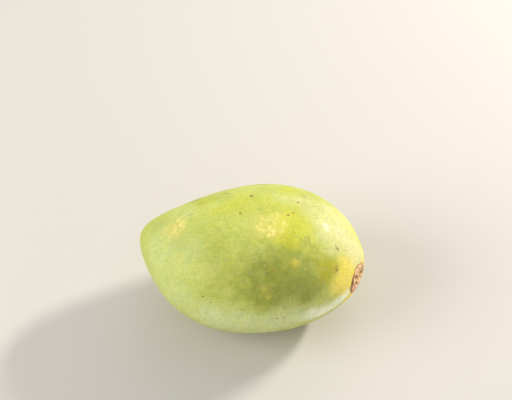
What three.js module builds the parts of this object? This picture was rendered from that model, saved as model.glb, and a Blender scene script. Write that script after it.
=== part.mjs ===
// A green mango as picked, lying on one cheek on a small flat spot. It is one solid: the fruit with the corky
// scar where its stalk broke off. Millimetres, +Z up, +X towards the stem scar, +Y towards the flatter side that
// the beak leans to. The origin is under the middle of the fruit, at the level that it rests on.
import * as THREE from "three";

// Driving dimensions of the fruit, in millimetres.
const LENGTH = 125; // from the stem scar to the beak

// Half the fruit's width, side to side, and half its thickness, cheek to cheek, at station s: each is sin(s) times
// a short cosine series.
const WIDTH = { mean: 39.5, stemward: 9.4, belly: 5.1, shoulder: 1.5 };
const THICKNESS = { mean: 36.8, stemward: 4.6, belly: 0.3, shoulder: 0 };

// How far the fruit's middle line lies towards +Y at station s: lean turns it, bow curves it, hook bends the ends
// and ripple evens the bend out.
const SPINE = { lean: 5.9, bow: 1.3, hook: -2.1, ripple: 0.7 };

// Gentle unevenness of the skin: a few broad waves across the fruit, each in its own direction.
// They fade out close to the middle line, where the two ends close.
const SWELL = { waves: 6, height: 0.16, shortest: 34, longest: 70, fade: 12 };

// The round corky scar at the stem end, and how far its face is turned up (+Z) and to the front (-Y).
const SCAR = {
  radius: 8.4,
  setBack: 1.3, // of its middle, behind the end of the plain fruit
  towardsFront: 5.8, // from the end of the middle line, towards -Y
  turnedUp: THREE.MathUtils.degToRad(3),
  turnedFront: THREE.MathUtils.degToRad(13),
  collarHeight: 0.5, // the collar's crown above the skin beside it
  collarWidth: 2.4,
  dishDepth: 0.7, // the torn tissue inside the collar, below the skin
  dishEdge: 1.7, // the dish's edge and the foot of its wall, inward from the rim
  dishFoot: 3.8,
  pitDepth: 1.3, // the hollow core, below the torn tissue
  pitMouth: 2.4, // the pit's radii at its mouth and on its floor
  pitFloor: 0.6,
  skinSlope: 0.28, // fall of the skin away from the collar
  skirt: 11, // width of the skin that rises to meet the collar
  reach: 30, // length of the stem end that is shaped, behind the face
};

// Waves around the scar: the rim's, which make it out of round, and the torn tissue's ridges, which also turn
// with the distance from the middle. Each has its lobes, its height and its turn in radians.
const RIM_WAVES = [
  { lobes: 2, height: 0.42, turn: 0.6, twist: 0 },
  { lobes: 3, height: 0.21, turn: 2, twist: 0 },
];
const TORN_WAVES = [
  { lobes: 5, height: 0.14, turn: 0.8, twist: 0.9 },
  { lobes: 8, height: 0.1, turn: 0, twist: -1.1 },
];

// The flat spot that the fruit rests on.
const REST = { depth: 0.9, rounding: 0.5 };

// The net of faces: rings lie closer together at the stem scar.
const NET = { around: 76, along: 54, scarShare: 0.36 };

const GOLDEN_ANGLE = Math.PI * (3 - Math.sqrt(5));
const FRUIT_SKIN = { color: "#b7c25c", roughness: 0.42, metalness: 0 };

const smoothstep = THREE.MathUtils.smoothstep;

// The station s of a ring: 0 at the stem scar and PI at the beak, for v from 0 to 1.
function ringStation(v) {
  return Math.PI * (NET.scarShare * v + (1 - NET.scarShare) * v * v);
}

// Half the width or the thickness at station s.
function halfAcross(s, series) {
  return (
    Math.sin(s) *
    (series.mean +
      series.stemward * Math.cos(s) -
      series.belly * Math.cos(2 * s) +
      series.shoulder * Math.cos(3 * s))
  );
}

// The plain fruit's surface at station s, in the direction (side, up) around its length.
function bodyPoint(s, side, up) {
  return new THREE.Vector3(
    (LENGTH / 2) * Math.cos(s),
    spineAt(s) + halfAcross(s, WIDTH) * side,
    halfAcross(s, THICKNESS) * up,
  );
}

// How far the fruit's middle line lies towards +Y at station s.
function spineAt(s) {
  return (
    SPINE.lean * Math.cos(s) +
    SPINE.bow * Math.cos(2 * s) +
    SPINE.hook * Math.cos(3 * s) +
    SPINE.ripple * Math.cos(4 * s)
  );
}

// The skin's broad unevenness at a point, as a height above the plain fruit.
function swellAt(point) {
  let height = 0;
  for (let i = 0; i < SWELL.waves; i++) {
    const rise = 1 - (2 * i + 1) / SWELL.waves;
    const reach = Math.sqrt(1 - rise * rise);
    const direction = new THREE.Vector3(
      reach * Math.cos(i * GOLDEN_ANGLE),
      reach * Math.sin(i * GOLDEN_ANGLE),
      rise,
    );
    const wavelength = THREE.MathUtils.lerp(
      SWELL.shortest,
      SWELL.longest,
      i / (SWELL.waves - 1),
    );
    height +=
      SWELL.height *
      Math.sin((2 * Math.PI * point.dot(direction)) / wavelength + i);
  }
  return height;
}

// The scar's own axes: its face looks along out, and across and upward lie in the face.
function scarAxes() {
  const out = new THREE.Vector3(
    Math.cos(SCAR.turnedUp) * Math.cos(SCAR.turnedFront),
    -Math.cos(SCAR.turnedUp) * Math.sin(SCAR.turnedFront),
    Math.sin(SCAR.turnedUp),
  );
  const across = new THREE.Vector3(0, 0, 1).cross(out).normalize();
  return { out, across, upward: out.clone().cross(across) };
}

// The height that a set of waves has at an angle around the scar and a distance from its middle.
function wavesAround(waves, angle, distance) {
  return waves.reduce(
    (sum, wave) =>
      sum + wave.height * Math.sin(wave.lobes * angle + wave.twist * distance + wave.turn),
    0,
  );
}

// The scar's height over its own plane, at a distance from its middle and a direction around it.
function scarHeight(distance, angle, rim) {
  const collarMiddle = rim - SCAR.collarWidth / 2;
  const fromCollar = (distance - collarMiddle) / (SCAR.collarWidth / 2);
  const collar = SCAR.collarHeight * Math.max(0, 1 - fromCollar * fromCollar);
  const dish =
    SCAR.dishDepth *
    (1 - smoothstep(distance, rim - SCAR.dishFoot, rim - SCAR.dishEdge));
  const pit = SCAR.pitDepth * (1 - smoothstep(distance, SCAR.pitFloor, SCAR.pitMouth));
  const torn =
    wavesAround(TORN_WAVES, angle, distance) *
    smoothstep(distance, SCAR.pitFloor, 2 * SCAR.pitMouth);
  return collar - dish - pit + torn;
}

// Turns the stem end of the fruit into the scar and the skin that rises to it.
function withScar(point, axes, middle) {
  const offset = point.clone().sub(middle);
  const a = offset.dot(axes.across);
  const b = offset.dot(axes.upward);
  const height = offset.dot(axes.out);
  if (height < -SCAR.reach) return point;
  const distance = Math.hypot(a, b);
  const angle = distance > 0 ? Math.atan2(b, a) : 0;
  const rim = SCAR.radius + wavesAround(RIM_WAVES, angle, distance);
  let made;
  if (distance < rim) {
    made = scarHeight(distance, angle, rim);
  } else {
    const rising = 1 - smoothstep(distance, rim, rim + SCAR.skirt);
    made = THREE.MathUtils.lerp(height, -SCAR.skinSlope * (distance - rim), rising);
  }
  return point.clone().addScaledVector(axes.out, made - height);
}

// The larger of a height and a level, rounded where they meet, so that the flat spot has no edge.
function levelled(height, level, rounding) {
  const blend = Math.max(rounding - Math.abs(height - level), 0) / rounding;
  return Math.max(height, level) + (blend * blend * rounding) / 4;
}

function fruitGeometry() {
  const geometry = new THREE.SphereGeometry(1, NET.around, NET.along);
  const position = geometry.getAttribute("position");
  const axes = scarAxes();
  const middle = bodyPoint(0, 0, 0);
  middle.x -= SCAR.setBack;
  middle.y -= SCAR.towardsFront;
  const points = [];
  for (let i = 0; i < position.count; i++) {
    const ball = new THREE.Vector3().fromBufferAttribute(position, i);
    const v = Math.acos(THREE.MathUtils.clamp(ball.y, -1, 1)) / Math.PI;
    const round = Math.hypot(ball.x, ball.z) || 1;
    const point = bodyPoint(ringStation(v), ball.z / round, ball.x / round);
    const outward = new THREE.Vector3(0, point.y - spineAt(Math.PI / 2), point.z);
    const away = outward.length() || 1;
    const swell = swellAt(point) * smoothstep(away, 0, SWELL.fade);
    point.addScaledVector(outward, swell / away);
    points.push(withScar(point, axes, middle));
  }
  const level = Math.min(...points.map((p) => p.z)) + REST.depth;
  points.forEach((p, i) =>
    position.setXYZ(i, p.x, p.y, levelled(p.z, level, REST.rounding) - level),
  );
  geometry.computeBoundingBox();
  const box = geometry.boundingBox;
  geometry.translate(-(box.min.x + box.max.x) / 2, -(box.min.y + box.max.y) / 2, 0);
  geometry.computeVertexNormals();
  return geometry;
}

const fruit = new THREE.Mesh(fruitGeometry(), new THREE.MeshStandardMaterial(FRUIT_SKIN));
fruit.name = "mango";

const part = new THREE.Group();
part.add(fruit);

export default part;
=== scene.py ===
"""A green mango as picked, lying on one cheek in soft studio light.

The fruit follows the same measures as the solid in the frame, on a finer net of faces, and is set into that
solid's box. The mesh carries masks at its vertices that say where the skin yellows, greens or blooms, and one
procedural material draws the skin from them.
"""

import logging
import math
from collections.abc import Mapping
from dataclasses import dataclass
from enum import Enum

import bmesh
import bpy
import numpy as np
from mathutils import Matrix, Vector, noise


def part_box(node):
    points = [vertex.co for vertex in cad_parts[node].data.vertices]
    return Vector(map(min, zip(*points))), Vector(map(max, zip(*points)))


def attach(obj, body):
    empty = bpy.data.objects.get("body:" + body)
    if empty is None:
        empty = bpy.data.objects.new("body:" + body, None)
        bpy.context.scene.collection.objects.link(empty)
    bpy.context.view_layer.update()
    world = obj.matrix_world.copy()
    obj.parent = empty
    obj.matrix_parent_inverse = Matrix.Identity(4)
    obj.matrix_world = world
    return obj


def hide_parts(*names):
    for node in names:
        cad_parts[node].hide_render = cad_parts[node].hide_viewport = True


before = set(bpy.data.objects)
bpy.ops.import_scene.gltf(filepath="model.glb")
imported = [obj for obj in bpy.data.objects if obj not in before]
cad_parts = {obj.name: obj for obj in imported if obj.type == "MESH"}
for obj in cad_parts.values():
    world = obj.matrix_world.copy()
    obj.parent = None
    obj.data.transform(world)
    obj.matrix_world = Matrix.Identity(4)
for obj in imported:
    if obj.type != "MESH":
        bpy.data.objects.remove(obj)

log = logging.getLogger("mango")

MM = 0.001
NODE = "mango"
GOLDEN_ANGLE = math.pi * (3 - math.sqrt(5))
TINY = 1e-9

SocketValue = bpy.types.NodeSocket | float | tuple


def linear(colour: str) -> tuple[float, float, float, float]:
    """Turns an sRGB hex colour into linear light.

    Args:
        colour: Six hex digits after a number sign.

    Returns:
        Red, green, blue and an alpha of 1.
    """
    shares = [int(colour[i : i + 2], 16) / 255 for i in (1, 3, 5)]
    parts = [s / 12.92 if s <= 0.04045 else ((s + 0.055) / 1.055) ** 2.4 for s in shares]
    return (parts[0], parts[1], parts[2], 1.0)


def smoothstep(value: np.ndarray, start: float | np.ndarray, end: float | np.ndarray) -> np.ndarray:
    """Rises smoothly from 0 at start to 1 at end."""
    share = np.clip((value - start) / (end - start), 0, 1)
    return share * share * (3 - 2 * share)


def per_metre(size: float) -> float:
    """Turns the size of a pattern, in millimetres, into a texture's scale."""
    return 1 / (size * MM)


def add(
    tree: bpy.types.NodeTree,
    kind: str,
    inputs: Mapping[str | int, SocketValue] | None = None,
    output: str = "",
    **settings: object,
) -> bpy.types.NodeSocket:
    """Adds a shader node with its settings, values and links.

    Args:
        tree: The tree that gets the node.
        kind: The node's type, without its leading ShaderNode.
        inputs: A value, or a socket to link from, for each input named by identifier, name or index.
        output: The name of the output to return, or nothing for the first one in use.
        **settings: The node's own properties.

    Returns:
        The output socket.
    """
    node = tree.nodes.new("ShaderNode" + kind)
    for name, value in settings.items():
        setattr(node, name, value)
    by_identifier = {socket.identifier: socket for socket in node.inputs}
    for key, value in (inputs or {}).items():
        socket = by_identifier[key] if key in by_identifier else node.inputs[key]
        if isinstance(value, bpy.types.NodeSocket):
            tree.links.new(value, socket)
        else:
            socket.default_value = value
    if output:
        return node.outputs[output]
    return next(socket for socket in node.outputs if socket.enabled)


@dataclass(frozen=True)
class CosineSeries:
    """A length that changes along the fruit, as a cosine series of the station.

    The station is 0 at the stem and pi at the beak.
    """

    terms: tuple[float, ...]

    def at(self, station: np.ndarray) -> np.ndarray:
        """Sums the series at the stations, in millimetres."""
        return sum(term * np.cos(order * station) for order, term in enumerate(self.terms))


@dataclass(frozen=True)
class Waves:
    """Waves around the scar, which also turn with the distance from its middle."""

    lobes: int
    height: float
    turn: float
    twist: float = 0.0

    def at(self, angle: np.ndarray, distance: np.ndarray) -> np.ndarray:
        """Gives the waves' height in millimetres."""
        return self.height * np.sin(self.lobes * angle + self.twist * distance + self.turn)


@dataclass(frozen=True)
class Pit:
    """A small hole that a torn sap vessel left in the scar, in millimetres and degrees around its middle."""

    distance: float
    angle: float
    radius: float
    depth: float


@dataclass(frozen=True)
class StemScar:
    """The round corky scar where the stalk broke off, in millimetres and radians.

    The values down to torn_waves are those of the solid. The cork's relief, below them, is finer than its
    net of faces. The last values say where the colour of the cork spreads and where its rim carries a painted
    shadow, strongest on one side.
    """

    radius: float = 8.4
    set_back: float = 1.3
    towards_front: float = 5.8
    turned_up: float = math.radians(3)
    turned_front: float = math.radians(13)
    collar_height: float = 0.5
    collar_width: float = 2.4
    dish_depth: float = 0.7
    dish_edge: float = 1.7
    dish_foot: float = 3.8
    pit_depth: float = 1.3
    pit_mouth: float = 2.4
    pit_floor: float = 0.6
    skin_slope: float = 0.28
    skirt: float = 11.0
    reach: float = 30.0
    rim_waves: tuple[Waves, ...] = (Waves(2, 0.42, 0.6), Waves(3, 0.21, 2.0))
    torn_waves: tuple[Waves, ...] = (Waves(5, 0.14, 0.8, 0.9), Waves(8, 0.1, 0.0, -1.1))
    lump_size: float = 1.5
    lump_height: float = 0.32
    crumb_size: float = 0.6
    crumb_height: float = 0.13
    cork_end: tuple[float, float] = (-0.6, 0.2)
    groove_depth: float = 0.4
    groove_width: float = 0.55
    fine_margin: float = 3.0
    pit_wall: tuple[float, float] = (0.35, 1.15)
    pits: tuple[Pit, ...] = (
        Pit(2.9, 314, 0.9, 0.6),
        Pit(4.8, 272, 0.85, 0.55),
        Pit(5.8, 341, 0.6, 0.4),
        Pit(4.6, 143, 0.6, 0.5),
        Pit(4.9, 52, 0.5, 0.4),
    )
    spread: float = 1.6
    spread_angle: float = math.radians(90)
    spread_width: float = math.radians(30)
    # Where the painted shadow along the rim is strongest, and how far round it reaches.
    rim_shadow_angle: float = math.radians(124)
    rim_shadow_width: float = math.radians(42)

    def axes(self) -> tuple[np.ndarray, np.ndarray, np.ndarray]:
        """Gives the direction the scar faces, and the two directions across and up in its face."""
        level = math.cos(self.turned_up)
        front = self.turned_front
        out = np.array([level * math.cos(front), -level * math.sin(front), math.sin(self.turned_up)])
        across = np.cross([0.0, 0.0, 1.0], out)
        across /= np.linalg.norm(across)
        return out, across, np.cross(out, across)

    def rim(self, angle: np.ndarray, distance: np.ndarray) -> np.ndarray:
        """Gives the scar's radius at the angles around it."""
        return self.radius + sum(waves.at(angle, distance) for waves in self.rim_waves)

    def cork_edge(self, angle: np.ndarray, rim: np.ndarray) -> np.ndarray:
        """Gives the radius that the cork reaches: the rim's, and a little more at the top."""
        return rim + self.spread * np.exp(-(((angle - self.spread_angle) / self.spread_width) ** 2))

    # The dark line along the rim is painted shadow; this says how strong it is around the rim.
    def rim_shadow_side(self, angle: np.ndarray) -> np.ndarray:
        """Says from 0 to 1 how dark the rim is at the angles around it."""
        away = np.abs((angle - self.rim_shadow_angle + math.pi) % (2 * math.pi) - math.pi)
        return np.exp(-((away / self.rim_shadow_width) ** 2))

    def broad_height(self, distance: np.ndarray, angle: np.ndarray, rim: np.ndarray) -> np.ndarray:
        """Gives the height of the scar over its own plane, as the solid has it.

        Args:
            distance: Millimetres from the scar's middle.
            angle: Radians around it.
            rim: The scar's radius at those angles.

        Returns:
            Heights in millimetres.
        """
        half_collar = self.collar_width / 2
        collar = self.collar_height * np.maximum(0, 1 - ((distance - rim + half_collar) / half_collar) ** 2)
        dish = self.dish_depth * (1 - smoothstep(distance, rim - self.dish_foot, rim - self.dish_edge))
        pit = self.pit_depth * (1 - smoothstep(distance, self.pit_floor, self.pit_mouth))
        torn = sum(waves.at(angle, distance) for waves in self.torn_waves)
        return collar - dish - pit + torn * smoothstep(distance, self.pit_floor, 2 * self.pit_mouth)

    def hollow(self, across: np.ndarray, upward: np.ndarray, widened: float = 1.0) -> np.ndarray:
        """Says how deep in one of the small holes each point is.

        Args:
            across: Millimetres across the scar's face.
            upward: Millimetres up it.
            widened: How much wider than they are the holes are taken, for the darker colour in and around
                them.

        Returns:
            The depth in millimetres.
        """
        depth = np.zeros_like(across)
        foot, mouth = self.pit_wall
        for pit in self.pits:
            angle = math.radians(pit.angle)
            off = np.hypot(across - pit.distance * math.cos(angle), upward - pit.distance * math.sin(angle))
            wall = widened * pit.radius
            depth = np.maximum(depth, pit.depth * (1 - smoothstep(off, foot * wall, mouth * wall)))
        return depth

    def fine_height(self, points: np.ndarray, distance: np.ndarray, rim: np.ndarray) -> np.ndarray:
        """Gives the corky lumps and crumbs inside the rim and the groove along it.

        Args:
            points: The surface's points in millimetres.
            distance: Millimetres from the scar's middle.
            rim: The scar's radius beside each point.

        Returns:
            Heights in millimetres.
        """
        rough = np.array(
            [
                self.lump_height * noise.noise(Vector(p / self.lump_size))
                + self.crumb_height * noise.noise(Vector(p / self.crumb_size))
                for p in points
            ]
        )
        groove = self.groove_depth * np.exp(-(((distance - rim) / self.groove_width) ** 2))
        start, end = self.cork_end
        return rough * (1 - smoothstep(distance, rim + start, rim + end)) - groove


@dataclass(frozen=True)
class Place:
    """A place on the skin: millimetres towards the stem from the middle, and degrees around the length.

    The turn is 0 at the side towards +Y, 90 on top and 180 at the front.
    """

    x: float
    turn: float


class FruitForm:
    """The mango's surface in millimetres, from the measures that the solid has too."""

    length = 125.0
    width = CosineSeries((39.5, 9.4, -5.1, 1.5))
    thickness = CosineSeries((36.8, 4.6, -0.3))
    spine = CosineSeries((0.0, 5.9, 1.3, -2.1, 0.7))
    swell_waves = 6
    swell_height = 0.16
    swell_lengths = (34.0, 70.0)
    swell_fade = 12.0
    rest_depth = 0.9
    rest_rounding = 0.5
    ring_share = 0.36
    sample_rings = 160
    heading_step = 0.5
    core_height = 36.0
    scar = StemScar()

    def __init__(self, low: Vector, high: Vector) -> None:
        """Finds the shift that sets the surface into the solid's box.

        Args:
            low: The solid's lowest corner, in metres.
            high: Its highest corner.
        """
        self.level = 0.0
        self.shift = np.zeros(3)
        share = np.linspace(0, 1, self.sample_rings)
        turns = np.linspace(0, 2 * math.pi, self.sample_rings, endpoint=False)
        station, turn = np.meshgrid(self.station(share), turns, indexing="ij")
        points = self.raised(station.ravel(), np.cos(turn.ravel()), np.sin(turn.ravel()))
        self.level = points[:, 2].min() + self.rest_depth
        middle = (np.array(low) + np.array(high)) / 2 / MM
        self.shift = middle - (points.min(0) + points.max(0)) / 2
        self.shift[2] = -self.level

    def station(self, share: np.ndarray) -> np.ndarray:
        """Gives the station of a ring, closer together at the stem, for a share of the net from 0 to 1."""
        return math.pi * (self.ring_share * share + (1 - self.ring_share) * share**2)

    def plain(self, station: np.ndarray, side: np.ndarray, up: np.ndarray) -> np.ndarray:
        """Gives the plain fruit's points in the direction (side, up) around the length."""
        across = np.sin(station)
        return np.stack(
            [
                self.length / 2 * np.cos(station),
                self.spine.at(station) + across * self.width.at(station) * side,
                across * self.thickness.at(station) * up,
            ],
            axis=1,
        )

    def swell(self, points: np.ndarray) -> np.ndarray:
        """Gives the broad unevenness of the skin at the points."""
        height = np.zeros(len(points))
        shortest, longest = self.swell_lengths
        for i in range(self.swell_waves):
            rise = 1 - (2 * i + 1) / self.swell_waves
            reach = math.sqrt(1 - rise * rise)
            turn = i * GOLDEN_ANGLE
            direction = np.array([reach * math.cos(turn), reach * math.sin(turn), rise])
            wavelength = shortest + (longest - shortest) * i / (self.swell_waves - 1)
            height += self.swell_height * np.sin(2 * math.pi * points @ direction / wavelength + i)
        return height

    def on_scar(self, points: np.ndarray) -> tuple[np.ndarray, ...]:
        """Gives the points' distances across, up and out from the scar's middle, in its own axes."""
        start = np.zeros(1)
        middle = self.plain(start, start, start)[0] - [self.scar.set_back, self.scar.towards_front, 0]
        out, across, upward = self.scar.axes()
        offset = points - middle
        return offset @ across, offset @ upward, offset @ out

    def raised(self, station: np.ndarray, side: np.ndarray, up: np.ndarray, fine: bool = False) -> np.ndarray:
        """Gives the fruit's points with its swell and its scar, before it lies down on its flat spot.

        Args:
            station: The points' stations.
            side: How far each direction around the length points to the side.
            up: How far it points up.
            fine: Whether the scar has its fine relief.

        Returns:
            Points in millimetres, one a row.
        """
        points = self.plain(station, side, up)
        outward = points * [0, 1, 1]
        outward[:, 1] -= self.spine.at(np.array([math.pi / 2]))[0]
        away = np.maximum(np.linalg.norm(outward, axis=1), MM)
        swell = self.swell(points) * smoothstep(away, 0, self.swell_fade) / away
        points = points + outward * swell[:, None]
        across, upward, height = self.on_scar(points)
        distance = np.hypot(across, upward)
        angle = np.arctan2(upward, across)
        rim = self.scar.rim(angle, distance)
        inside = self.scar.broad_height(distance, angle, rim)
        rising = 1 - smoothstep(distance, rim, rim + self.scar.skirt)
        outside = height + (-self.scar.skin_slope * (distance - rim) - height) * rising
        made = np.where(distance < rim, inside, outside)
        if fine:
            near = (distance < rim + self.scar.fine_margin) & (height > -self.scar.reach)
            made[near] += self.scar.fine_height(points[near], distance[near], rim[near])
            made[near] -= self.scar.hollow(across[near], upward[near])
        made = np.where(height < -self.scar.reach, height, made)
        return points + np.outer(made - height, self.scar.axes()[0])

    def settled(self, points: np.ndarray) -> np.ndarray:
        """Lays raised points down on the flat spot and moves them into the solid's box."""
        height = points[:, 2]
        blend = np.maximum(self.rest_rounding - np.abs(height - self.level), 0) / self.rest_rounding
        lying = points.copy()
        lying[:, 2] = np.maximum(height, self.level) + blend**2 * self.rest_rounding / 4
        return lying + self.shift

    def point(self, place: Place) -> np.ndarray:
        """Gives the point of the skin at a place, in millimetres."""
        station = np.array([math.acos((place.x - self.shift[0]) / (self.length / 2))])
        turn = np.array([math.radians(place.turn)])
        return self.settled(self.raised(station, np.cos(turn), np.sin(turn)))[0]

    def heading(self, place: Place, degrees: float) -> Matrix:
        """Gives the axes of a mark on the skin.

        Args:
            place: Where the mark is.
            degrees: How far its length is turned from the direction to the beak, about the outward normal.

        Returns:
            A rotation whose first column runs along the mark and whose third one points out of the skin.
        """
        here = self.point(place)
        along = self.point(Place(place.x - self.heading_step, place.turn)) - here
        around = self.point(Place(place.x, place.turn + self.heading_step)) - here
        normal = Vector(np.cross(along, around)).normalized()
        if normal.dot(Vector(here * [0, 1, 1]) - Vector((0, 0, self.core_height))) < 0:
            normal.negate()
        first = Matrix.Rotation(math.radians(degrees), 3, normal) @ Vector(along).normalized()
        return Matrix((first, normal.cross(first), normal)).transposed()


class Tone(Enum):
    """What a patch of skin does to its colour. Each is a mask that the mesh carries."""

    LIME = "lime"
    PALE = "pale"
    OLIVE = "olive"
    MUSTARD = "mustard"
    BLOOM = "bloom"
    # A pale veil: partly the skin's bloom, partly painted highlight around the highlight and painted
    # reflection along the shoulder.
    VEIL_AND_HIGHLIGHT = "veil_and_highlight"
    # Painted reflection: a near-white streak along the lower edge beside the stem, standing in for a
    # reflection.
    PAINTED_REFLECTION = "painted_reflection"
    YELLOW = "yellow"
    FRECKLED = "freckled"


@dataclass(frozen=True)
class Patch:
    """A soft-edged patch of the skin, with its radius in millimetres and its strength from 0 to 1."""

    tone: Tone
    place: Place
    radius: float
    strength: float = 1.0


@dataclass(frozen=True)
class Tint:
    """A colour laid over the skin where a mask says.

    A noise of the given grain, in millimetres, breaks its edge up.
    """

    tone: Tone
    colour: str
    share: float
    grain: float
    breakup: float


@dataclass(frozen=True)
class Mark:
    """A small mark on the skin: its place, length, width and heading, in millimetres and degrees."""

    place: Place
    length: float
    width: float
    heading: float
    colour: str
    share: float = 0.85


@dataclass(frozen=True)
class Mottle:
    """A faint cloudiness of the rind, laid over its colours like a filter.

    Its grain is the size of its clouds in millimetres.
    """

    grain: float
    colour: str
    share: float


@dataclass(frozen=True)
class PoreRing:
    """The dark dot of a breathing pore or the pale ring around it.

    The radius is in millimetres. The share is that of a strong pore, and least is the part of it that a faint
    one has.
    """

    radius: float
    colour: str
    share: float
    least: float


@dataclass(frozen=True)
class TornCork:
    """Dried cork, torn where the stalk broke off.

    It gives the eye a matt, crumbly patch: brown in its cracks, tan on its lumps and cream where it flakes,
    with a redder side and a darker collar. The dark line along its rim is painted shadow of the step between
    cork and skin, strongest on one side. Grains are in millimetres. The edges of the collar, the cork and the
    rim are shares of the way from the scar's middle to its edge.
    """

    tones: tuple[str, str, str] = ("#a27854", "#d2a674", "#f8d8a0")
    stops: tuple[float, float, float] = (0.33, 0.45, 0.56)
    grain: float = 1.5
    breakup: float = 0.16
    edges: tuple[float, float] = (1.05, 1.1)
    blush: str = "#b3856b"
    blush_weight: float = 0.5
    blush_grain: float = 2.6
    blush_edges: tuple[float, float] = (0.6, 0.95)
    blush_share: float = 0.85
    collar: str = "#cf9c76"
    collar_edges: tuple[float, float] = (0.88, 1.0)
    collar_share: float = 0.75
    # The dark rim line is painted shadow of the step between cork and skin, strongest on one side.
    rim: str = "#7a4822"
    shadow_line_at: float = 1.04
    shadow_line_edges: tuple[float, float] = (0.02, 0.1)
    shadow_line_share: float = 0.85
    shadow_line_least: float = 0.3
    hole: str = "#4a2e14"
    hole_edges: tuple[float, float] = (0.08, 0.45)
    hole_share: float = 0.92
    roughness: float = 0.85


@dataclass(frozen=True)
class MangoSkin:
    """Mango skin as it grew: a thin waxy cuticle over green to yellow rind.

    The waxy cuticle gives the eye a satin skin with one soft highlight and a pale bloom. The rind gives it
    broad clouds of lime, olive and yellow, with fine speckling. Some pale tints are painted light: the veil
    around the highlight is partly painted highlight and painted reflection, and the white streak along the
    lower edge by the stem is a painted reflection. Sizes are in millimetres. A pair named edges or chance
    holds the two values of a pattern between which its share changes.
    """

    ground: str = "#b9c057"
    ground_light: str = "#c4cb68"
    cloud_size: float = 16.0
    cloud_edges: tuple[float, float] = (0.35, 0.65)
    mottles: tuple[Mottle, ...] = (
        Mottle(5.0, "#e0f1e6", 0.4),
        Mottle(3.6, "#fffccf", 0.38),
        Mottle(9.0, "#fffdd6", 0.36),
        Mottle(2.4, "#f4e2d4", 0.2),
    )
    mottle_edges: tuple[float, float] = (0.4, 0.66)
    # The skin's own grain is about 0.1 mm, too fine to show, so the stipple is drawn coarser.
    stipple_size: float = 1.1
    stipple_share: float = 0.2
    stipple_light: float = 1.045
    stipple_edges: tuple[float, float] = (0.3, 0.7)
    tints: tuple[Tint, ...] = (
        Tint(Tone.PALE, "#c6d085", 0.9, 9.0, 0.4),
        Tint(Tone.LIME, "#c8c830", 0.9, 7.0, 0.5),
        Tint(Tone.BLOOM, "#ced89e", 0.95, 7.0, 0.4),
        Tint(Tone.OLIVE, "#959c3b", 0.95, 5.0, 0.7),
        Tint(Tone.MUSTARD, "#afab1c", 0.9, 5.0, 0.5),
        Tint(Tone.YELLOW, "#f0db62", 0.95, 6.0, 0.7),
        # Pale veil: partly bloom, partly painted highlight around the real highlight and painted reflection
        # along the edges.
        Tint(Tone.VEIL_AND_HIGHLIGHT, "#d8d397", 0.95, 8.0, 0.4),
        # A near-white tint laid where a reflection shows: a painted reflection, not the skin's own colour.
        Tint(Tone.PAINTED_REFLECTION, "#f7fce4", 0.95, 8.0, 0.3),
    )
    tint_edges: tuple[float, float] = (0.05, 0.95)
    freckle: str = "#f8e688"
    freckle_share: float = 0.95
    freckle_size: float = 2.3
    freckle_wobble: float = 2.2
    freckle_chance: tuple[float, float] = (0.05, 0.75)
    freckle_edges: tuple[float, float] = (0.15, 0.82)
    freckled_edges: tuple[float, float] = (0.2, 0.75)
    freckle_haze: str = "#e0d564"
    freckle_haze_share: float = 0.6
    pore_rings: tuple[PoreRing, ...] = (
        PoreRing(1.15, "#e8d9a0", 0.24, 0.1),
        PoreRing(0.5, "#6b5726", 0.9, 0.3),
    )
    pore_core: float = 0.3
    pore_spacing: float = 2.8
    pore_chance: tuple[float, float] = (0.35, 0.75)
    pore_faintest: float = 0.2
    pore_strength: float = 1.2
    mark_grain: float = 0.9
    mark_wobble: float = 0.5
    mark_edges: tuple[float, float] = (0.45, 1.25)
    cork: TornCork = TornCork()
    roughness: float = 0.56
    coat: float = 0.045
    coat_roughness: float = 0.12
    ior: float = 1.45
    relief_size: float = 1.6
    relief_height: float = 0.08


BROWN = "#63401a"
ORANGE_BROWN = "#8c5c18"
RUSSET = "#a08024"
BLUE_GREEN = "#8fae78"
DOT_GREEN = "#50531f"

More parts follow.
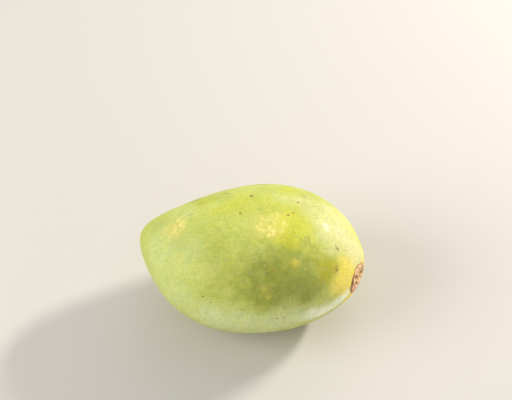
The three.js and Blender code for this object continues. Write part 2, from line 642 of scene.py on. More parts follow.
PATCHES = (
    Patch(Tone.PALE, Place(-46, 135), 15, 0.75),
    Patch(Tone.PALE, Place(-42, 103), 11, 0.65),
    Patch(Tone.PALE, Place(-36, 78), 9, 0.6),
    Patch(Tone.PALE, Place(-30, 171), 14, 0.9),
    Patch(Tone.PALE, Place(-42, 196), 12, 0.8),
    Patch(Tone.PALE, Place(-26, 200), 10, 0.7),
    Patch(Tone.PALE, Place(-25, 118), 8, 0.55),
    Patch(Tone.PALE, Place(14, 73), 7, 0.5),
    Patch(Tone.PALE, Place(28, 64), 6, 0.5),
    Patch(Tone.LIME, Place(23, 94), 8, 0.9),
    Patch(Tone.LIME, Place(29, 95), 7, 0.8),
    Patch(Tone.LIME, Place(22, 107), 8, 0.8),
    Patch(Tone.LIME, Place(30, 108), 8, 0.45),
    Patch(Tone.LIME, Place(18, 84), 8, 0.5),
    Patch(Tone.LIME, Place(5, 77), 7, 0.5),
    Patch(Tone.LIME, Place(-9, 80), 9, 0.55),
    Patch(Tone.LIME, Place(15, 54), 7, 0.8),
    Patch(Tone.LIME, Place(-29, 62), 7, 0.6),
    Patch(Tone.LIME, Place(-19, 85), 7, 0.35),
    Patch(Tone.LIME, Place(-7, 60), 8, 0.35),
    Patch(Tone.LIME, Place(-2, 128), 7, 0.4),
    Patch(Tone.LIME, Place(-31, 133), 6, 0.3),
    Patch(Tone.OLIVE, Place(30, 144), 11, 0.9),
    Patch(Tone.OLIVE, Place(17, 131), 11, 0.7),
    Patch(Tone.OLIVE, Place(14, 149), 10, 0.58),
    Patch(Tone.OLIVE, Place(39, 149), 7, 0.8),
    Patch(Tone.OLIVE, Place(24, 121), 10, 0.35),
    Patch(Tone.OLIVE, Place(36, 126), 9, 0.55),
    Patch(Tone.OLIVE, Place(4, 138), 11, 0.12),
    Patch(Tone.OLIVE, Place(5, 123), 8, 0.22),
    Patch(Tone.OLIVE, Place(18, 157), 6, 0.5),
    Patch(Tone.OLIVE, Place(24, 155), 6, 0.35),
    Patch(Tone.OLIVE, Place(37, 158), 6, 0.5),
    Patch(Tone.OLIVE, Place(9, 157), 8, 0.15),
    Patch(Tone.OLIVE, Place(-3, 150), 7, 0.2),
    Patch(Tone.OLIVE, Place(3, 126), 5, 0.2),
    Patch(Tone.OLIVE, Place(18, 150), 3.5, 0.3),
    Patch(Tone.OLIVE, Place(43, 145), 4, 0.3),
    Patch(Tone.OLIVE, Place(18, 113), 8, 0.18),
    Patch(Tone.OLIVE, Place(31, 113), 6, 0.25),
    Patch(Tone.OLIVE, Place(-8, 141), 7, 0.25),
    Patch(Tone.OLIVE, Place(45, 142), 5, 0.4),
    Patch(Tone.OLIVE, Place(-28, 65), 5, 0.4),
    Patch(Tone.OLIVE, Place(-35, 55), 5, 0.4),
    Patch(Tone.MUSTARD, Place(46, 127), 6, 0.9),
    Patch(Tone.MUSTARD, Place(46, 137), 6, 0.8),
    Patch(Tone.MUSTARD, Place(38, 116), 6, 0.5),
    Patch(Tone.MUSTARD, Place(48, 121), 3.5, 0.5),
    Patch(Tone.BLOOM, Place(-9, 178), 12, 0.8),
    Patch(Tone.BLOOM, Place(6, 182), 10, 0.85),
    Patch(Tone.BLOOM, Place(22, 182), 10, 0.85),
    Patch(Tone.BLOOM, Place(34, 179), 9, 0.8),
    Patch(Tone.BLOOM, Place(29, 160), 6, 0.28),
    Patch(Tone.BLOOM, Place(23, 154), 6, 0.32),
    Patch(Tone.BLOOM, Place(33, 131), 5, 0.25),
    Patch(Tone.BLOOM, Place(10, 130), 4, 0.15),
    Patch(Tone.BLOOM, Place(-14, 190), 8, 0.5),
    Patch(Tone.BLOOM, Place(41, 161), 5, 0.35),
    Patch(Tone.BLOOM, Place(10, 208), 17, 0.5),
    # The pale veil: partly bloom, partly painted highlight around the highlight and painted reflection along
    # the shoulder by the stem.
    Patch(Tone.VEIL_AND_HIGHLIGHT, Place(47, 80), 10, 0.62),
    Patch(Tone.VEIL_AND_HIGHLIGHT, Place(52, 92), 8, 0.7),
    Patch(Tone.VEIL_AND_HIGHLIGHT, Place(39, 90), 7, 0.35),
    Patch(Tone.VEIL_AND_HIGHLIGHT, Place(32, 76), 7, 0.45),
    Patch(Tone.VEIL_AND_HIGHLIGHT, Place(47, 167), 5, 0.35),
    Patch(Tone.VEIL_AND_HIGHLIGHT, Place(59, 98), 6, 0.75),
    Patch(Tone.VEIL_AND_HIGHLIGHT, Place(58, 86), 7, 0.75),
    Patch(Tone.VEIL_AND_HIGHLIGHT, Place(60, 74), 6, 0.5),
    Patch(Tone.VEIL_AND_HIGHLIGHT, Place(58, 180), 4, 0.75),
    Patch(Tone.VEIL_AND_HIGHLIGHT, Place(15, 71), 7, 0.35),
    Patch(Tone.VEIL_AND_HIGHLIGHT, Place(25, 68), 7, 0.5),
    Patch(Tone.VEIL_AND_HIGHLIGHT, Place(38, 64), 7, 0.5),
    Patch(Tone.VEIL_AND_HIGHLIGHT, Place(48, 46), 14, 0.5),
    Patch(Tone.VEIL_AND_HIGHLIGHT, Place(43, 103), 6, 0.15),
    Patch(Tone.VEIL_AND_HIGHLIGHT, Place(47, 110), 4, 0.3),
    # The painted reflection: a pale streak along the lower edge towards the stem.
    Patch(Tone.PAINTED_REFLECTION, Place(57, 184), 3.5, 0.6),
    Patch(Tone.PAINTED_REFLECTION, Place(54, 184), 4.5, 0.8),
    Patch(Tone.PAINTED_REFLECTION, Place(50, 189), 4.5, 0.9),
    Patch(Tone.PAINTED_REFLECTION, Place(46, 190), 5, 0.9),
    Patch(Tone.PAINTED_REFLECTION, Place(42, 179), 5, 0.65),
    Patch(Tone.PAINTED_REFLECTION, Place(36, 183), 5.5, 0.4),
    Patch(Tone.PAINTED_REFLECTION, Place(40, 191), 4.5, 0.3),
    Patch(Tone.PAINTED_REFLECTION, Place(47, 175), 4, 0.35),
    Patch(Tone.PAINTED_REFLECTION, Place(54, 192), 3.5, 0.5),
    Patch(Tone.YELLOW, Place(51, 111), 6, 0.3),
    Patch(Tone.YELLOW, Place(57, 118), 8, 0.6),
    Patch(Tone.YELLOW, Place(54, 128), 5, 0.5),
    Patch(Tone.YELLOW, Place(43, 50), 6, 0.4),
    Patch(Tone.YELLOW, Place(22, 80), 7, 0.14),
    Patch(Tone.YELLOW, Place(51, 51), 6, 0.5),
    Patch(Tone.YELLOW, Place(28.5, 124), 3, 0.55),
    Patch(Tone.YELLOW, Place(16, 146), 3, 0.42),
    Patch(Tone.YELLOW, Place(19, 153), 2.5, 0.36),
    Patch(Tone.YELLOW, Place(55, 147), 7, 0.8),
    Patch(Tone.YELLOW, Place(52, 150), 5, 0.6),
    Patch(Tone.YELLOW, Place(51, 164), 4, 0.4),
    Patch(Tone.FRECKLED, Place(12, 99), 7),
    Patch(Tone.FRECKLED, Place(16, 94), 5, 0.8),
    Patch(Tone.FRECKLED, Place(8, 103), 4.5, 0.4),
    Patch(Tone.FRECKLED, Place(-40, 100), 6.5),
    Patch(Tone.FRECKLED, Place(-37, 93), 4.5, 0.65),
    Patch(Tone.FRECKLED, Place(-14, 322), 6, 0.8),
    Patch(Tone.FRECKLED, Place(24, 262), 5, 0.7),
)

PORES = (
    Place(34.5, 82),
    Place(39.3, 76.5),
    Place(39.3, 80),
    Place(38.3, 87.3),
    Place(35.2, 96.3),
    Place(47.2, 99.9),
    Place(40, 118.8),
    Place(37.5, 113.4),
    Place(27.2, 104.4),
    Place(31.2, 103.5),
    Place(42.4, 108),
    Place(52, 101.7),
    Place(47.4, 83.7),
    Place(45.2, 144),
    Place(34.5, 143),
    Place(28.6, 136.8),
    Place(36, 149.4),
    Place(25.9, 148.5),
    Place(10.1, 148.5),
    Place(13.9, 143),
    Place(7.9, 134),
    Place(9, 124.2),
    Place(4, 113.4),
    Place(0.5, 108),
    Place(-6, 125),
    Place(16, 86.4),
    Place(7.9, 80),
    Place(0.5, 63),
    Place(30, 65.7),
    Place(31, 69.3),
    Place(32, 68.4),
)

MARKS = (
    Mark(Place(48.6, 103.6), 2.4, 1.0, 139, BROWN, 0.85),
    Mark(Place(47.9, 102.6), 3.2, 2.2, 139, ORANGE_BROWN, 0.3),
    Mark(Place(-10.8, 161.1), 2.0, 0.8, -127, DOT_GREEN, 0.5),
    Mark(Place(-15.6, 157.5), 1.6, 1.0, -156, DOT_GREEN, 0.7),
    Mark(Place(18.6, 132.3), 4.6, 1.5, -141, RUSSET, 0.55),
    Mark(Place(16.4, 134.0), 1.8, 1.4, -141, DOT_GREEN, 0.45),
    Mark(Place(22.0, 84.5), 2.0, 1.5, -120, RUSSET, 0.8),
    Mark(Place(19.8, 87.6), 1.7, 1.1, -120, BROWN, 0.85),
    Mark(Place(-3.0, 69.3), 2.8, 1.8, 148, ORANGE_BROWN, 0.85),
    Mark(Place(-2.8, 69.5), 1.3, 1.0, 148, BROWN, 0.7),
    Mark(Place(-18.1, 59.4), 4.8, 2.2, 171, RUSSET, 0.65),
    Mark(Place(-32.9, 82.8), 4.0, 2.0, -171, BLUE_GREEN, 0.42),
    Mark(Place(50.0, 126.8), 4.6, 3.6, 101, RUSSET, 0.5),
    Mark(Place(50.4, 129.0), 1.7, 1.2, 120, BROWN, 0.65),
    Mark(Place(22.6, 72.0), 1.9, 1.5, -130, ORANGE_BROWN, 0.8),
    Mark(Place(24.6, 60.0), 2.6, 2.0, 155, RUSSET, 0.5),
    Mark(Place(-5.4, 88.2), 1.6, 1.2, 125, BROWN, 0.8),
    Mark(Place(24.5, 175.5), 1.6, 1.2, 180, DOT_GREEN, 0.6),
    Mark(Place(27.7, 176.4), 1.9, 1.0, -151, DOT_GREEN, 0.6),
    Mark(Place(33.3, 104.4), 5.0, 2.4, 112, RUSSET, 0.35),
    Mark(Place(14.0, 305), 2.2, 1.3, 40, BROWN, 0.8),
    Mark(Place(-24.0, 341), 3.4, 1.6, 160, RUSSET, 0.6),
    Mark(Place(35.0, 248), 1.8, 1.1, 75, DOT_GREEN, 0.65),
    Mark(Place(-6.0, 236), 2.4, 1.0, 12, BROWN, 0.7),
    Mark(Place(29.0, 17), 4.2, 2.0, 130, RUSSET, 0.55),
    Mark(Place(-14.0, 24), 1.7, 1.2, 95, BROWN, 0.8),
    Mark(Place(3.0, 352), 1.9, 1.4, 20, ORANGE_BROWN, 0.75),
    Mark(Place(-38.0, 284), 2.0, 1.2, 150, DOT_GREEN, 0.6),
    Mark(Place(20.0, 280), 1.5, 1.2, 60, BROWN, 0.7),
)


class MangoFruit:
    """The whole fruit: its mesh, the masks on it and its skin."""

    around = 300
    rings = 256
    dark_widened = 1.3
    far_off_rim = 99.0
    far_off_scar = 9.0
    dotted_edge = (-45.0, 12.0)
    yellow_edge = (2.0, 13.0)
    blush_angle = math.radians(205)
    blush_edge = (-1.0, 5.0)
    hidden_patches = 30
    hidden_start = 215.0
    hidden_span = 170.0
    hidden_reach = 55.0
    hidden_radii = (10.0, 17.0)
    hidden_radius_step = 0.37
    hidden_strengths = (0.3, 0.6)
    hidden_strength_step = 0.61

    def __init__(self, form: FruitForm, skin: MangoSkin) -> None:
        """Takes the form that the mesh follows and the finish that it wears."""
        self.form = form
        self.skin = skin

    def build(self) -> bpy.types.Object:
        """Builds the fruit and dresses it.

        Returns:
            The fruit's object, riding on the root body in the solid's stead.
        """
        mesh = bpy.data.meshes.new("mango_fruit")
        ball = bmesh.new()
        bmesh.ops.create_uvsphere(ball, u_segments=self.around, v_segments=self.rings, radius=1.0)
        start = np.array([vertex.co for vertex in ball.verts])
        share = np.arccos(np.clip(start[:, 2], -1, 1)) / math.pi
        reach = np.maximum(np.hypot(start[:, 0], start[:, 1]), TINY)
        station = self.form.station(share)
        raised = self.form.raised(station, start[:, 0] / reach, start[:, 1] / reach, fine=True)
        points = self.form.settled(raised)
        for vertex, point in zip(ball.verts, points):
            vertex.co = Vector(point * MM)
        bmesh.ops.recalc_face_normals(ball, faces=ball.faces)
        for face in ball.faces:
            face.smooth = True
        ball.to_mesh(mesh)
        ball.free()
        for name, values in self.masks(raised, points).items():
            layer = mesh.attributes.new(name, "FLOAT", "POINT")
            layer.data.foreach_set("value", values.astype(np.float32))
        mesh.materials.append(SkinMaterial(self.skin, self.form).build())
        fruit = bpy.data.objects.new("mango_fruit", mesh)
        bpy.context.collection.objects.link(fruit)
        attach(fruit, "root")
        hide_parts(NODE)
        return fruit

    def hidden(self) -> tuple[Patch, ...]:
        """Spreads patches of the seen kinds evenly over the side that no photograph shows."""
        tones = (Tone.LIME, Tone.BLOOM, Tone.PALE, Tone.VEIL_AND_HIGHLIGHT, Tone.PALE, Tone.BLOOM, Tone.OLIVE)
        smallest, largest = self.hidden_radii
        faintest, strongest = self.hidden_strengths
        patches = []
        for i in range(self.hidden_patches):
            share = (i + 0.5) / self.hidden_patches
            turn = self.hidden_start + self.hidden_span * ((i * GOLDEN_ANGLE / math.pi) % 1)
            radius = smallest + (largest - smallest) * ((i * self.hidden_radius_step) % 1)
            strength = faintest + (strongest - faintest) * ((i * self.hidden_strength_step) % 1)
            place = Place(self.hidden_reach * (1 - 2 * share), turn)
            patches.append(Patch(tones[i % len(tones)], place, radius, strength))
        return tuple(patches)

    def masks(self, raised: np.ndarray, points: np.ndarray) -> dict[str, np.ndarray]:
        """Works out the masks that the skin reads.

        Args:
            raised: The vertices before the fruit lies down, in millimetres.
            points: The vertices as they lie.

        Returns:
            A number for each vertex, for each mask's name.
        """
        found = {tone.value: np.zeros(len(points)) for tone in Tone}
        for patch in PATCHES + self.hidden():
            off = np.linalg.norm(points - self.form.point(patch.place), axis=1)
            weight = patch.strength * np.exp(-((off / patch.radius) ** 2))
            found[patch.tone.value] += weight * (1 - found[patch.tone.value])
        across, upward, _ = self.form.on_scar(raised)
        distance = np.hypot(across, upward)
        angle = np.arctan2(upward, across)
        rim = self.form.scar.rim(angle, distance)
        on_stem_end = raised[:, 0] > 0
        beyond = np.where(on_stem_end, distance - rim, self.far_off_rim)
        found["yellow"] += (1 - smoothstep(beyond, *self.yellow_edge)) * (1 - found["yellow"])
        out_to_cork_edge = distance / self.form.scar.cork_edge(angle, rim)
        found["scar"] = np.where(on_stem_end, out_to_cork_edge, self.far_off_scar)
        leaning = across * math.cos(self.blush_angle) + upward * math.sin(self.blush_angle)
        found["blush"] = smoothstep(leaning, *self.blush_edge)
        # How strong the painted shadow along the scar's rim is, around it.
        found["rim_shadow_side"] = self.form.scar.rim_shadow_side(angle)
        hollow = self.form.scar.hollow(across, upward, self.dark_widened)
        found["hollow"] = np.where(on_stem_end, hollow, 0.0)
        found["dotted"] = smoothstep(points[:, 0], *self.dotted_edge)
        return found


class SkinMaterial:
    """Builds the skin's shader from the finish and the masks on the mesh."""

    def __init__(self, skin: MangoSkin, form: FruitForm) -> None:
        """Takes the finish and the form that the marks are placed on."""
        self.skin = skin
        self.form = form

    def build(self) -> bpy.types.Material:
        """Builds the material.

        Returns:
            The material, with one Principled shader that all patterns feed.
        """
        material = bpy.data.materials.new("mango_skin")
        material.use_nodes = True
        tree = material.node_tree
        self.tree = tree
        self.here = add(tree, "TexCoord", output="Object")
        shader = tree.nodes["Principled BSDF"]
        colour = self.rind()
        colour = self.freckles(colour)
        colour = self.pores(colour)
        colour = self.marks(colour)
        colour, cork = self.cork(colour)
        roughness = add(
            tree,
            "MapRange",
            {"Value": cork, "To Min": self.skin.roughness, "To Max": self.skin.cork.roughness},
        )
        coat = add(tree, "MapRange", {"Value": cork, "To Min": self.skin.coat, "To Max": 0.0})
        relief = add(
            tree,
            "TexNoise",
            {"Vector": self.here, "Scale": per_metre(self.skin.relief_size), "Detail": 2.0, "Roughness": 0.6},
        )
        bump = add(
            tree,
            "Bump",
            {"Height": relief, "Distance": self.skin.relief_height * MM, "Strength": 1.0},
        )
        tree.links.new(colour, shader.inputs["Base Color"])
        tree.links.new(roughness, shader.inputs["Roughness"])
        tree.links.new(coat, shader.inputs["Coat Weight"])
        tree.links.new(bump, shader.inputs["Normal"])
        shader.inputs["Coat Roughness"].default_value = self.skin.coat_roughness
        shader.inputs["IOR"].default_value = self.skin.ior
        return material

    def rind(self) -> bpy.types.NodeSocket:
        """Draws the rind's clouded ground, its patches and its fine stipple."""
        tree, skin = self.tree, self.skin
        cloud = add(
            tree,
            "TexNoise",
            {"Vector": self.here, "Scale": per_metre(skin.cloud_size), "Detail": 3.0},
        )
        start, end = skin.cloud_edges
        share = add(
            tree,
            "MapRange",
            {"Value": cloud, "From Min": start, "From Max": end},
            interpolation_type="SMOOTHSTEP",
        )
        colour = add(
            tree,
            "Mix",
            {"Factor_Float": share, "A_Color": linear(skin.ground), "B_Color": linear(skin.ground_light)},
            data_type="RGBA",
        )
        colour = self.patches(colour)
        start, end = skin.mottle_edges
        for mottle in skin.mottles:
            grain = add(
                tree,
                "TexNoise",
                {"Vector": self.here, "Scale": per_metre(mottle.grain), "Detail": 4.0},
            )
            share = add(
                tree,
                "MapRange",
                {"Value": grain, "From Min": start, "From Max": end, "To Max": mottle.share},
                interpolation_type="SMOOTHSTEP",
            )
            colour = add(
                tree,
                "Mix",
                {"Factor_Float": share, "A_Color": colour, "B_Color": linear(mottle.colour)},
                data_type="RGBA",
                blend_type="MULTIPLY",
            )
        fine = add(
            tree,
            "TexNoise",
            {"Vector": self.here, "Scale": per_metre(skin.stipple_size), "Detail": 3.0},
        )
        start, end = skin.stipple_edges
        half = skin.stipple_share / 2
        light = add(
            tree,
            "MapRange",
            {
                "Value": fine,
                "From Min": start,
                "From Max": end,
                "To Min": skin.stipple_light - half,
                "To Max": skin.stipple_light + half,
            },
        )
        return add(tree, "HueSaturation", {"Color": colour, "Value": light})

    def patches(self, colour: bpy.types.NodeSocket) -> bpy.types.NodeSocket:
        """Lays each tint over a colour where its mask says, with its edge broken up."""
        tree, skin = self.tree, self.skin
        start, end = skin.tint_edges
        for tint in skin.tints:
            mask = add(tree, "Attribute", output="Fac", attribute_name=tint.tone.value)
            grain = add(
                tree,
                "TexNoise",
                {"Vector": self.here, "Scale": per_metre(tint.grain), "Detail": 4.0},
            )
            moved = add(
                tree,
                "Math",
                {0: grain, 1: tint.breakup, 2: -tint.breakup / 2},
                operation="MULTIPLY_ADD",
            )
            edge = add(tree, "Math", {0: mask, 1: moved}, operation="ADD")
            share = add(
                tree,
                "MapRange",
                {"Value": edge, "From Min": start, "From Max": end, "To Max": tint.share},
                interpolation_type="SMOOTHSTEP",
            )
            colour = add(
                tree,
                "Mix",
                {"Factor_Float": share, "A_Color": colour, "B_Color": linear(tint.colour)},
                data_type="RGBA",
            )
        return colour

    def freckles(self, colour: bpy.types.NodeSocket) -> bpy.types.NodeSocket:
        """Lays the clustered pale-yellow freckles over a colour."""
        tree, skin = self.tree, self.skin
        mask = add(tree, "Attribute", output="Fac", attribute_name=Tone.FRECKLED.value)
        wobble = add(
            tree,
            "TexNoise",
            {"Vector": self.here, "Scale": per_metre(skin.freckle_size), "Detail": 2.0},
            output="Color",
        )
        moved = add(
            tree,
            "VectorMath",
            {0: wobble, 1: (skin.freckle_wobble * MM,) * 3, 2: self.here},
            operation="MULTIPLY_ADD",
        )
        cells = add(tree, "TexVoronoi", {"Vector": moved, "Scale": per_metre(skin.freckle_size)})
        chance = add(tree, "SeparateColor", {"Color": cells.node.outputs["Color"]}, output="Red")
        start, end = skin.freckle_chance
        strength = add(
            tree,
            "MapRange",
            {"Value": chance, "From Min": start, "From Max": end, "To Max": skin.freckle_share},
        )
        start, end = skin.freckle_edges
        spot = add(
            tree,
            "MapRange",
            {"Value": cells, "From Min": start, "From Max": end, "To Min": 1.0, "To Max": 0.0},
            interpolation_type="SMOOTHSTEP",
        )
        start, end = skin.freckled_edges
        inside = add(
            tree,
            "MapRange",
            {"Value": mask, "From Min": start, "From Max": end},
            interpolation_type="SMOOTHSTEP",
        )
        here = add(tree, "Math", {0: strength, 1: inside}, operation="MULTIPLY")
        share = add(tree, "Math", {0: spot, 1: here}, operation="MULTIPLY")
        haze = add(tree, "Math", {0: mask, 1: skin.freckle_haze_share}, operation="MULTIPLY")
        for factor, tone in ((haze, skin.freckle_haze), (share, skin.freckle)):
            colour = add(
                tree,
                "Mix",
                {"Factor_Float": factor, "A_Color": colour, "B_Color": linear(tone)},
                data_type="RGBA",
            )
        return colour

    def off_named_pores(self) -> bpy.types.NodeSocket:
        """Gives the distance to the nearest of the pores that have a place of their own."""
        nearest = None
        for pore in PORES:
            centre = tuple(self.form.point(pore) * MM)
            away = add(
                self.tree,
                "VectorMath",
                {0: self.here, 1: centre},
                output="Value",
                operation="DISTANCE",
            )
            if nearest is None:
                nearest = away
            else:
                nearest = add(self.tree, "Math", {0: nearest, 1: away}, operation="MINIMUM")
        return nearest

    def pores(self, colour: bpy.types.NodeSocket) -> bpy.types.NodeSocket:
        """Lays the breathing pores over a colour: a dark dot, with a pale ring around it."""
        tree, skin = self.tree, self.skin
        dotted = add(tree, "Attribute", output="Fac", attribute_name="dotted")
        cells = add(tree, "TexVoronoi", {"Vector": self.here, "Scale": per_metre(skin.pore_spacing)})
        # A pore's cell has a random colour: its red says if the pore is faint, its green how dark it is.
        chance = add(tree, "SeparateColor", {"Color": cells.node.outputs["Color"]}, output="Red")
        darkness = chance.node.outputs["Green"]
        start, end = skin.pore_chance
        faintest = skin.pore_faintest
        shown = add(
            tree,
            "MapRange",
            {"Value": chance, "From Min": start, "From Max": end, "To Min": 1.0, "To Max": faintest},
        )
        weight = add(tree, "Math", {0: dotted, 1: shown}, operation="MULTIPLY")
        named = self.off_named_pores()
        for ring in skin.pore_rings:
            outer = ring.radius / skin.pore_spacing
            inside = add(
                tree,
                "MapRange",
                {
                    "Value": cells,
                    "From Min": outer * skin.pore_core,
                    "From Max": outer,
                    "To Min": ring.share,
                    "To Max": 0.0,
                },
                interpolation_type="SMOOTHSTEP",
            )
            vary = add(tree, "MapRange", {"Value": darkness, "To Min": ring.least, "To Max": 1.0})
            varied = add(tree, "Math", {0: inside, 1: vary}, operation="MULTIPLY")
            strong = add(tree, "Math", {0: varied, 1: skin.pore_strength}, operation="MULTIPLY")
            scattered = add(tree, "Math", {0: strong, 1: weight}, operation="MULTIPLY")
            placed = add(
                tree,
                "MapRange",
                {
                    "Value": named,
                    "From Min": ring.radius * skin.pore_core * MM,
                    "From Max": ring.radius * MM,
                    "To Min": ring.share,
                    "To Max": 0.0,
                },
                interpolation_type="SMOOTHSTEP",
            )
            factor = add(tree, "Math", {0: scattered, 1: placed}, operation="MAXIMUM")
            colour = add(
                tree,
                "Mix",
                {"Factor_Float": factor, "A_Color": colour, "B_Color": linear(ring.colour)},
                data_type="RGBA",
            )
        return colour

    def marks(self, colour: bpy.types.NodeSocket) -> bpy.types.NodeSocket:
        """Lays the single specks and rub marks over a colour, each inside an oval with a soft edge."""
        tree, skin = self.tree, self.skin
        wobble = add(
            tree,
            "TexNoise",
            {"Vector": self.here, "Scale": per_metre(skin.mark_grain), "Detail": 2.0},
            output="Color",
        )
        reach = skin.mark_wobble * MM
        moved = add(
            tree,
            "VectorMath",
            {0: wobble, 1: (reach,) * 3, 2: self.here},
            operation="MULTIPLY_ADD",
        )
        still = add(tree, "VectorMath", {0: moved, 1: (reach / 2,) * 3}, operation="SUBTRACT")
        start, end = skin.mark_edges
        for mark in MARKS:
            centre = self.form.point(mark.place) * MM
            turn = self.form.heading(mark.place, mark.heading).to_euler()
            inside = add(
                tree,
                "Mapping",
                {
                    "Vector": still,
                    "Location": tuple(centre),
                    "Rotation": tuple(turn),
                    "Scale": (mark.length / 2 * MM, mark.width / 2 * MM, mark.length / 2 * MM),
                },
                vector_type="TEXTURE",
            )
            away = add(tree, "VectorMath", {0: inside}, output="Value", operation="LENGTH")
            factor = add(
                tree,
                "MapRange",
                {"Value": away, "From Min": start, "From Max": end, "To Min": mark.share, "To Max": 0.0},
                interpolation_type="SMOOTHSTEP",
            )
            colour = add(
                tree,
                "Mix",
                {"Factor_Float": factor, "A_Color": colour, "B_Color": linear(mark.colour)},
                data_type="RGBA",
            )
        return colour

    def tissue(self, grain: bpy.types.NodeSocket, out: bpy.types.NodeSocket) -> bpy.types.NodeSocket:
        """Draws the cork inside the rim.

        Args:
            grain: The noise that the cork's lumps of colour follow.
            out: The share of the way from the scar's middle to its edge, made uneven.

        Returns:
            Its colour, with the redder side, the collar and the small dark holes.
        """
        tree, finish = self.tree, self.skin.cork
        colour = add(tree, "ValToRGB", {"Fac": grain})
        ramp = colour.node.color_ramp
        middle = ramp.elements.new(0.5)
        elements = (ramp.elements[0], middle, ramp.elements[2])
        for element, position, tone in zip(elements, finish.stops, finish.tones):
            element.position = position
            element.color = linear(tone)
        lower = add(tree, "Attribute", output="Fac", attribute_name="blush")
        patchy = add(
            tree,
            "TexNoise",
            {"Vector": self.here, "Scale": per_metre(finish.blush_grain), "Detail": 4.0},
        )
        reddened = add(tree, "Math", {0: lower, 1: finish.blush_weight, 2: patchy}, operation="MULTIPLY_ADD")
        start, end = finish.blush_edges
        blush = add(
            tree,
            "MapRange",
            {"Value": reddened, "From Min": start, "From Max": end, "To Max": finish.blush_share},
            interpolation_type="SMOOTHSTEP",
        )
        start, end = finish.collar_edges
        on_collar = add(
            tree,
            "MapRange",
            {"Value": out, "From Min": start, "From Max": end, "To Max": finish.collar_share},
            interpolation_type="SMOOTHSTEP",
        )
        hollow = add(tree, "Attribute", output="Fac", attribute_name="hollow")
        start, end = finish.hole_edges
        in_hole = add(
            tree,
            "MapRange",
            {"Value": hollow, "From Min": start, "From Max": end, "To Max": finish.hole_share},
        )
        for factor, tone in ((blush, finish.blush), (on_collar, finish.collar), (in_hole, finish.hole)):
            colour = add(
                tree,
                "Mix",
                {"Factor_Float": factor, "A_Color": colour, "B_Color": linear(tone)},
                data_type="RGBA",
            )
        return colour

    def cork(self, colour: bpy.types.NodeSocket) -> tuple[bpy.types.NodeSocket, bpy.types.NodeSocket]:
        """Draws the corky scar over a colour.

        Args:
            colour: The skin around it.

        Returns:
            The colour with the scar, and a mask that is 1 on cork and 0 on skin.
        """
        tree, finish = self.tree, self.skin.cork
        scar = add(tree, "Attribute", output="Fac", attribute_name="scar")
        grain = add(
            tree,
            "TexNoise",
            {"Vector": self.here, "Scale": per_metre(finish.grain), "Detail": 5.0, "Roughness": 0.65},
        )
        out = add(tree, "Math", {0: grain, 1: finish.breakup, 2: scar}, operation="MULTIPLY_ADD")
        inner = self.tissue(grain, out)
        start, end = finish.edges
        mask = add(
            tree,
            "MapRange",
            {"Value": out, "From Min": end, "From Max": start, "To Min": 0.0, "To Max": 1.0},
        )
        painted = add(
            tree,
            "Mix",
            {"Factor_Float": mask, "A_Color": colour, "B_Color": inner},
            data_type="RGBA",
        )
        # The dark line along the rim: painted shadow of the step between cork and skin, strongest on one
        # side.
        off_rim = add(tree, "Math", {0: out, 1: finish.shadow_line_at}, operation="SUBTRACT")
        near = add(tree, "Math", {0: off_rim}, operation="ABSOLUTE")
        side = add(tree, "Attribute", output="Fac", attribute_name="rim_shadow_side")
        weight = add(tree, "MapRange", {"Value": side, "To Min": finish.shadow_line_least, "To Max": 1.0})
        start, end = finish.shadow_line_edges
        line = add(
            tree,
            "MapRange",
            {"Value": near, "From Min": start, "From Max": end, "To Min": finish.shadow_line_share, "To Max": 0.0},
            interpolation_type="SMOOTHSTEP",
        )
        share = add(tree, "Math", {0: line, 1: weight}, operation="MULTIPLY")
        with_rim_shadow = add(
            tree,
            "Mix",
            {"Factor_Float": share, "A_Color": painted, "B_Color": linear(finish.rim)},
            data_type="RGBA",
        )
        return with_rim_shadow, mask


@dataclass(frozen=True)
class SoftLight:
    """An oval soft light, placed around the fruit in degrees and metres, with its power in watts.

    Its size is its width and its height, and its roll turns it about the line to the fruit, in degrees.
    """

    name: str
    azimuth: float
    elevation: float
    distance: float
    size: tuple[float, float]
    power: float
    colour: str = "#ffffff"
    roll: float = 0.0

    def build(self, target: Vector) -> bpy.types.Object:
        """Adds the light, facing the target."""
        lamp = bpy.data.lights.new(self.name, "AREA")
        lamp.shape = "ELLIPSE"
        lamp.size, lamp.size_y = self.size
        lamp.energy = self.power
        lamp.color = linear(self.colour)[:3]
        light = bpy.data.objects.new(self.name, lamp)
        away = direction(self.azimuth, self.elevation)
        light.location = target + away * self.distance
        upright = away.to_track_quat("Z", "Y").to_matrix()
        light.rotation_euler = (upright @ Matrix.Rotation(math.radians(self.roll), 3, "Z")).to_euler()
        bpy.context.collection.objects.link(light)
        return light


def direction(azimuth: float, elevation: float) -> Vector:
    """Gives the unit vector at an azimuth, from the front towards the right, and an elevation, in degrees."""
    turn, rise = math.radians(azimuth), math.radians(elevation)
    return Vector((math.sin(turn) * math.cos(rise), -math.cos(turn) * math.cos(rise), math.sin(rise)))


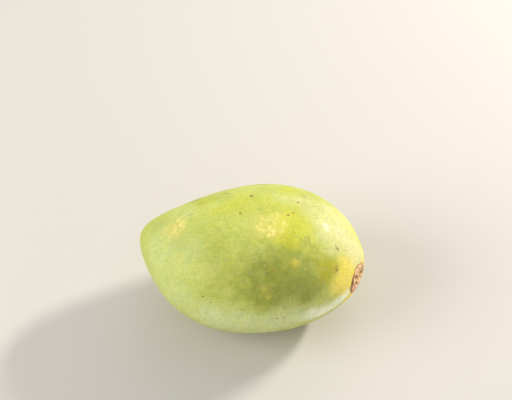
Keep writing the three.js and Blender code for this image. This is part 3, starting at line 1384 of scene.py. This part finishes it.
@dataclass(frozen=True)
class Studio:
    """The plain floor, the soft lights and the even white surroundings.

    The floor is matt painted board. It gives the eye a pale even ground with a soft shadow and no gloss.
    """

    floor_colour: str = "#d3cec6"
    floor_roughness: float = 0.9
    floor_size: float = 4.0
    world_colour: str = "#ffffff"
    world_strength: float = 0.48
    lights: tuple[SoftLight, ...] = (
        SoftLight("window", 136, 30, 1.2, (0.28, 0.11), 12.5, "#fffaf2", -28),
        SoftLight("softbox", -60, 30, 1.2, (0.9, 0.9), 9.2),
        SoftLight("backlight", 180, 42, 1.2, (0.9, 0.9), 1.8),
        SoftLight("reflector", 60, 6, 1.2, (0.9, 0.5), 1.6),
    )

    def build(self, target: Vector) -> None:
        """Builds the floor, the lights and the world around the target."""
        grid = bmesh.new()
        bmesh.ops.create_grid(grid, x_segments=1, y_segments=1, size=self.floor_size / 2)
        mesh = bpy.data.meshes.new("floor")
        grid.to_mesh(mesh)
        grid.free()
        material = bpy.data.materials.new("matt_painted_board")
        material.use_nodes = True
        shader = material.node_tree.nodes["Principled BSDF"]
        shader.inputs["Base Color"].default_value = linear(self.floor_colour)
        shader.inputs["Roughness"].default_value = self.floor_roughness
        mesh.materials.append(material)
        floor = bpy.data.objects.new("floor", mesh)
        bpy.context.collection.objects.link(floor)
        for light in self.lights:
            light.build(target)
        world = bpy.data.worlds.new("studio")
        world.use_nodes = True
        background = world.node_tree.nodes["Background"]
        background.inputs["Color"].default_value = linear(self.world_colour)
        background.inputs["Strength"].default_value = self.world_strength
        bpy.context.scene.world = world
        bpy.context.scene.view_settings.view_transform = "Standard"


@dataclass(frozen=True)
class Viewpoint:
    """The camera: where it stands around the fruit, and the pixel where it sees the fruit's own origin."""

    azimuth: float = 14.0
    elevation: float = 53.0
    lens: float = 85.0
    sensor: float = 36.0
    pixels_per_mm: float = 1.7925
    image: tuple[int, int] = (512, 400)
    origin_pixel: tuple[float, float] = (249.17, 256.11)

    def build(self, origin: Vector) -> bpy.types.Object:
        """Adds the camera and makes it the scene's.

        Args:
            origin: The middle of the fruit's form, in metres.

        Returns:
            The camera's object.
        """
        data = bpy.data.cameras.new("viewpoint")
        data.lens = self.lens
        data.sensor_width = self.sensor
        focal = self.lens / self.sensor * self.image[0]
        back = direction(self.azimuth, self.elevation)
        level = back.to_track_quat("Z", "Y")
        right = self.origin_pixel[0] - self.image[0] / 2
        up = self.image[1] / 2 - self.origin_pixel[1]
        seen = Vector((right, up, -focal))
        camera = bpy.data.objects.new("viewpoint", data)
        camera.rotation_mode = "QUATERNION"
        camera.rotation_quaternion = level @ seen.rotation_difference(Vector((0, 0, -1)))
        camera.location = origin + back * focal / self.pixels_per_mm * MM
        bpy.context.collection.objects.link(camera)
        bpy.context.scene.camera = camera
        return camera


def main() -> None:
    """Builds the fruit, then the studio and the camera, and reports each."""
    logging.basicConfig(level=logging.INFO, format="%(name)s: %(message)s")
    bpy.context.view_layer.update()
    form = FruitForm(*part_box(NODE))
    log.info("form set into the solid's box, shifted by %s mm", np.round(form.shift, 3))
    fruit = MangoFruit(form, MangoSkin()).build()
    log.info("%s has %d faces and %d masks", fruit.name, len(fruit.data.polygons), len(fruit.data.attributes))
    origin = Vector(form.shift * MM)
    studio = Studio()
    studio.build(origin)
    log.info("studio has %d lights", len(studio.lights))
    camera = Viewpoint().build(origin)
    log.info("camera stands at %s", np.round(np.array(camera.location), 3))


if __name__ == "__main__":
    main()
